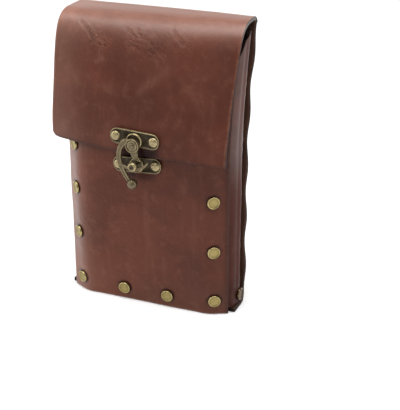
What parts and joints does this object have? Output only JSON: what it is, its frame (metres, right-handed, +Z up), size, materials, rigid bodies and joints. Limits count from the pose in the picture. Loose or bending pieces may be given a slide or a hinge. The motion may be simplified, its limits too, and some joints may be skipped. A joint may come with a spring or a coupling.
{
  "type": "medieval belt pouch",
  "caption": "Tall riveted leather belt pouch with side gussets, a long front flap, a swing clasp and a belt loop on its back.",
  "frame": {"origin": "on the floor under the middle of the standing pouch's box", "axes": "+Z up from the base to the fold of the flap, -Y out of the front with the clasp, +Y out of the back with the belt loop, +X to the right of someone facing the front"},
  "size_m": [0.1144, 0.0582, 0.1801],
  "materials": {
    "leather": "waxed pull-up leather",
    "brass": "worn antique brass caps",
    "bronze": "antique bronze, dark recesses"
  },
  "bodies": {
    "pouch": {"back_with_flap": "leather", "front_panel": "leather", "gusset_left": "leather", "gusset_right": "leather", "belt_loop": "leather", "front_rivet_left_1": "brass", "front_rivet_left_2": "brass", "front_rivet_left_3": "brass", "front_rivet_left_4": "brass", "front_rivet_left_5": "brass", "front_rivet_right_1": "brass", "front_rivet_right_2": "brass", "front_rivet_right_3": "brass", "front_rivet_right_4": "brass", "front_rivet_right_5": "brass", "back_rivet_left_1": "brass", "back_rivet_left_2": "brass", "back_rivet_left_3": "brass", "back_rivet_left_4": "brass", "back_rivet_left_5": "brass", "back_rivet_right_1": "brass", "back_rivet_right_2": "brass", "back_rivet_right_3": "brass", "back_rivet_right_4": "brass", "back_rivet_right_5": "brass", "base_rivet_left": "brass", "base_rivet_right": "brass", "corner_rivet_left": "brass", "corner_rivet_right": "brass", "loop_rivet_lower_left": "brass", "loop_rivet_lower_right": "brass", "loop_rivet_upper_left": "brass", "loop_rivet_upper_right": "brass", "clasp_upper_plate": "bronze", "clasp_lower_plate": "bronze", "clasp_pivot": "bronze", "upper_stud_left": "bronze", "upper_stud_right": "bronze", "lower_stud_left": "bronze", "lower_stud_right": "bronze"},
    "hook": {"clasp_hook": "bronze"}
  },
  "joints": [
    {"name": "hook_swing", "type": "hinge", "parent": "pouch", "child": "hook", "pos_m": [-0.00098, -0.02434, 0.1095], "axis": [0, 1, 0], "range_deg": [0, 110]}
  ]
}
